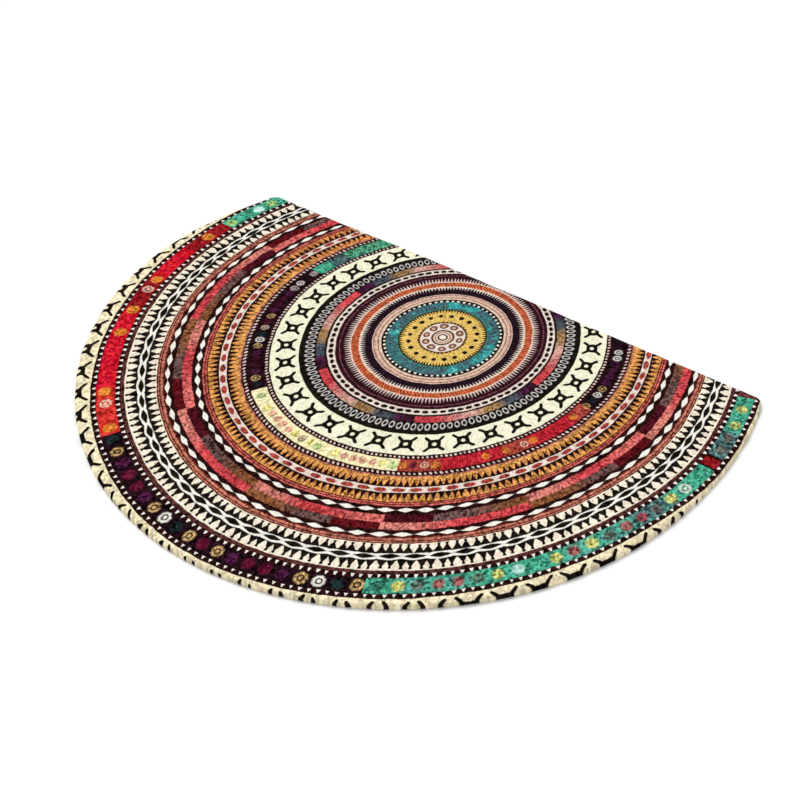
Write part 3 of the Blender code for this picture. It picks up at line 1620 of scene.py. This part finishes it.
@dataclass
class PlushMat:
    """The mat: a fine mesh of plush in the solid's place, with a soft rim and a flat underside."""

    node: str = "mat"
    """The solid that it takes the place of."""
    columns: int = 300
    rows: int = 190
    side_share: float = 0.27
    """The share of the round line that is the mesh's left side, and the same for its right side."""
    rim_reach: float = 0.006
    """How far in from the cut line the surface begins to round over, in metres."""
    rim_drop: float = 0.0038
    """How far down the rounding goes."""
    foot: float = 0.0008
    """The small rounding under the rim."""
    rim_steps: int = 6
    foot_steps: int = 2
    swell: float = 0.00035
    """How far the surface rises and falls over a hand's width."""
    swells: float = 14.0
    """How many such swells there are in a metre."""
    tuft: float = 0.00028
    """How far it does so over a few tufts."""
    tufts: float = 170.0
    """How many such groups of tufts there are in a metre."""
    tufts_from: tuple[float, float, float] = (3.1, 7.7, 0.4)
    """Where in the noise they are read, which sets them apart from the swells."""
    stray: float = 0.0006
    """How far the cut line strays."""
    strays: float = 38.0
    """How many times in a metre it does so."""
    strays_from: tuple[float, float, float] = (9.0, 1.0, 5.0)
    """Where in the noise that is read."""
    stray_height: float = 0.5
    """The share of the thickness from which it strays fully, and below which less and less."""
    map_margin: float = 0.004
    """How much of the flat map stays free along each side of it."""
    map_corner: float = 0.13
    """The share of the map's width that the underside gets."""
    outline: Outline = field(init=False)
    thickness: float = field(init=False)

    def __post_init__(self) -> None:
        """Reads the mat's size from the frame's solid."""
        low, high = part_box(self.node)
        self.outline = Outline((high[0] - low[0]) / 2, high[1] - low[1])
        self.thickness = high[2] - low[2]

    def build(self) -> bpy.types.Object:
        """Returns:
            The mat's object.
        """
        shape = bmesh.new()
        flat = shape.verts.layers.float_vector.new("flat")
        along = shape.verts.layers.float.new("along")
        self._surface(shape, flat, along)
        self._rim(shape, flat, along)
        self._map(shape, flat)
        self._unevenness(shape, along)
        mesh = bpy.data.meshes.new("plush_mat")
        shape.to_mesh(mesh)
        shape.free()
        for name in ("flat", "along"):
            mesh.attributes.remove(mesh.attributes[name])
        mesh.materials.append(PrintedPlush().material())
        mesh.materials.append(PlainUnderside().material())
        mesh.shade_smooth()
        mat = bpy.data.objects.new("plush_mat", mesh)
        bpy.context.scene.collection.objects.link(mat)
        self._declare(mat)
        return mat

    def _side(self, share: float, begin: float, end: float) -> Vector:
        """The point of the surface's edge that lies that share of the way from one distance to another."""
        point, way = self.outline.at(begin + (end - begin) * share)
        return point - way * self.rim_reach

    def _surface(self, shape: bmesh.types.BMesh, flat: Layer, along: Layer) -> None:
        """A grid fitted to the outline: its sides are the straight edge and three parts of the round one.

        Args:
            shape: The mesh that is being made.
            flat: The layer for each point's place in the flat map.
            along: The layer for its distance along the cut line, or -1 inside.
        """
        bmesh.ops.create_grid(shape, x_segments=self.columns, y_segments=self.rows, size=0.5)
        line = self.outline
        top, whole = line.top_length, line.whole_length
        side = (whole - top) * self.side_share
        right, left = top + side, whole - side
        tops = [self._side(i / self.columns, 0.0, top) for i in range(self.columns + 1)]
        feet = [self._side(i / self.columns, left, right) for i in range(self.columns + 1)]
        rights = [self._side(j / self.rows, right, top) for j in range(self.rows + 1)]
        lefts = [self._side(j / self.rows, left, whole) for j in range(self.rows + 1)]
        for v in shape.verts:
            s, t = v.co.x + 0.5, v.co.y + 0.5
            i, j = round(s * self.columns), round(t * self.rows)
            place = feet[i].lerp(tops[i], t) + lefts[j].lerp(rights[j], s)
            place -= feet[0].lerp(feet[-1], s).lerp(tops[0].lerp(tops[-1], s), t)
            if j == self.rows:
                v[along] = top * s
            elif i == self.columns:
                v[along] = right + (top - right) * t
            elif j == 0:
                v[along] = left + (right - left) * s
            elif i == 0:
                v[along] = left + side * t
            else:
                v[along] = -1.0
            v[flat] = place
            v.co = (place.x, place.y, self.thickness)

    def _profile(self) -> list[Point]:
        """Works out the rim's rings after the surface's own edge.

        Returns:
            For each ring, how far in from the cut line and how high it lies.
        """
        rounds = [math.pi / 2 * k / self.rim_steps for k in range(1, self.rim_steps + 1)]
        feet = [math.pi / 2 * k / self.foot_steps for k in range(self.foot_steps + 1)]
        reach, drop, top = self.rim_reach, self.rim_drop, self.thickness
        rings = [(reach * (1 - math.sin(a)), top - drop * (1 - math.cos(a))) for a in rounds]
        rings += [(self.foot * (1 - math.cos(a)), self.foot * (1 - math.sin(a))) for a in feet]
        return rings

    def _rim(self, shape: bmesh.types.BMesh, flat: Layer, along: Layer) -> None:
        """Rounds the edge over, ring by ring, and closes the underside with one flat face.

        Args:
            shape: The mesh that is being made.
            flat: The layer for each point's place in the flat map.
            along: The layer for its distance along the cut line.
        """
        edges = [e for e in shape.edges if e.is_boundary]
        last_in, last_up, spread = self.rim_reach, self.thickness, 0.0
        for inward, height in self._profile():
            spread += math.hypot(inward - last_in, height - last_up)
            last_in, last_up = inward, height
            made = bmesh.ops.extrude_edge_only(shape, edges=edges)["geom"]
            ring = {v for v in made if isinstance(v, bmesh.types.BMVert)}
            for v in ring:
                point, way = self.outline.at(v[along])
                v[flat] = point + way * (spread - self.rim_reach)
                v.co = point - way * inward
                v.co.z = height
            edges = [e for e in made if isinstance(e, bmesh.types.BMEdge) and set(e.verts) <= ring]
        under = bmesh.ops.contextual_create(shape, geom=edges)["faces"]
        for face in under:
            face.material_index = 1
        bmesh.ops.recalc_face_normals(shape, faces=shape.faces[:])

    def _map(self, shape: bmesh.types.BMesh, flat: Layer) -> None:
        """Lays the printed side out over the whole map and the underside in a free corner of it.

        Args:
            shape: The mesh that is being made.
            flat: The layer for each point's place in the flat map.
        """
        layer = shape.loops.layers.uv.new("OFBake")
        places = [v[flat] for v in shape.verts]
        low = Vector((min(p.x for p in places), min(p.y for p in places)))
        size = Vector((max(p.x for p in places), max(p.y for p in places))) - low
        corner = Vector((self.map_margin, self.map_margin))
        for face in shape.faces:
            scale = self.map_corner if face.material_index else 1 - 2 * self.map_margin
            for loop in face.loops:
                share = Vector(loop.vert[flat].xy) - low
                share = Vector((share.x / size.x, share.y / size.y))
                loop[layer].uv = share * scale + corner

    def _unevenness(self, shape: bmesh.types.BMesh, along: Layer) -> None:
        """Lets the surface rise and fall a little and the cut line stray, and leaves the underside flat.

        Args:
            shape: The mesh that is being made.
            along: The layer for each point's distance along the cut line, or -1 inside.
        """
        shape.normal_update()
        moves = []
        for v in shape.verts:
            height = v.co.z / self.thickness
            wide = noise.noise(v.co * self.swells) * self.swell
            fine = noise.noise(v.co * self.tufts + Vector(self.tufts_from)) * self.tuft
            rise = (wide + fine) * height * height
            step = v.normal * rise
            if v[along] >= 0.0:
                way = self.outline.at(v[along])[1]
                stray = noise.noise(v.co * self.strays + Vector(self.strays_from)) * self.stray
                step += way * (stray * min(1.0, height / self.stray_height))
            moves.append(step)
        for v, step in zip(shape.verts, moves, strict=True):
            if v.co.z > 0.0:
                v.co += step

    def _declare(self, mat: bpy.types.Object) -> None:
        """Attaches the mat to the root body and hides the solid that it takes the place of.

        Args:
            mat: The mat's object.
        """
        low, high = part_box(self.node)
        line = self.outline
        area = line.radius**2 * (math.pi / 2 + line.corner_angle)
        area += line.corner_centre[0] * (line.flat_y - line.centre_y)
        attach(mat, "root")
        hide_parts(self.node)


@dataclass(frozen=True)
class Studio:
    """The pale floor, the soft light and the camera."""

    floor_size: float = 24.0
    floor_gap: float = 0.0003
    """How far the floor lies under the mat, so that their faces don't coincide."""
    floor_tone: float = 0.96
    floor_roughness: float = 0.9
    sky: float = 0.62
    """How bright the sky is."""
    sun: float = 1.9
    """How bright the sun is."""
    sun_angle: float = 34.0
    """How wide the sun looks, in degrees, which softens its shadows."""
    sun_way: tuple[float, float, float] = (-0.80, 0.42, 1.05)
    """From the mat towards the sun."""
    eye: tuple[float, float, float] = (1.3599, -1.4125, 1.6835)
    """Where the camera stands."""
    target: tuple[float, float, float] = (0.0351, 0.0540, 0.0070)
    """The point that it looks at."""
    roll: float = -5.01
    """How far the camera leans, in degrees."""
    lens: float = 92.02
    """Its focal length, in millimetres."""
    sensor: float = 36.0
    """Its sensor's width, in millimetres."""

    def build(self) -> None:
        """Makes the floor, the light and the camera."""
        self._floor()
        self._light()
        self._camera()
        bpy.context.scene.view_settings.view_transform = "Standard"

    def _floor(self) -> None:
        """A plain matt floor."""
        shape = bmesh.new()
        bmesh.ops.create_grid(shape, x_segments=1, y_segments=1, size=self.floor_size / 2)
        bmesh.ops.translate(shape, verts=shape.verts, vec=(0.0, 0.0, -self.floor_gap))
        mesh = bpy.data.meshes.new("floor")
        shape.to_mesh(mesh)
        shape.free()
        loom = Loom("pale_floor")
        loom.shader.inputs["Base Color"].default_value = (self.floor_tone,) * 3 + (1.0,)
        loom.shader.inputs["Roughness"].default_value = self.floor_roughness
        loom.shader.inputs["Specular IOR Level"].default_value = 0.0
        mesh.materials.append(loom.material)
        floor = bpy.data.objects.new("floor", mesh)
        bpy.context.scene.collection.objects.link(floor)

    def _light(self) -> None:
        """An even white sky, and a wide soft sun from behind on the left."""
        world = bpy.data.worlds.new("soft_sky")
        world.use_nodes = True
        sky = world.node_tree.nodes["Background"]
        sky.inputs["Color"].default_value = (1.0, 1.0, 1.0, 1.0)
        sky.inputs["Strength"].default_value = self.sky
        bpy.context.scene.world = world
        data = bpy.data.lights.new("soft_sun", "SUN")
        data.energy = self.sun
        data.angle = math.radians(self.sun_angle)
        sun = bpy.data.objects.new("soft_sun", data)
        sun.rotation_euler = Vector(self.sun_way).to_track_quat("Z", "Y").to_euler()
        bpy.context.scene.collection.objects.link(sun)

    def _camera(self) -> None:
        """The camera, looking down across the mat from the front right."""
        data = bpy.data.cameras.new("camera")
        data.lens = self.lens
        data.sensor_width = self.sensor
        camera = bpy.data.objects.new("camera", data)
        eye = Vector(self.eye)
        back = (eye - Vector(self.target)).normalized()
        right = Vector((0.0, 0.0, 1.0)).cross(back).normalized()
        up = back.cross(right)
        lean = math.radians(self.roll)
        right, up = right * math.cos(lean) + up * math.sin(lean), up * math.cos(lean) - right * math.sin(lean)
        turn = Matrix((right, up, back)).transposed().to_4x4()
        camera.matrix_world = Matrix.Translation(eye) @ turn
        bpy.context.scene.collection.objects.link(camera)
        bpy.context.scene.camera = camera


def main() -> None:
    """Builds the mat and its studio."""
    logging.basicConfig(level=logging.INFO, format="%(name)s: %(message)s")
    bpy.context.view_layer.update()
    Studio().build()
    mat = PlushMat().build()
    nodes = len(mat.data.materials[0].node_tree.nodes)
    LOG.info("%s: %d faces, %d nodes in its print", mat.name, len(mat.data.polygons), nodes)


if __name__ == "__main__":
    main()
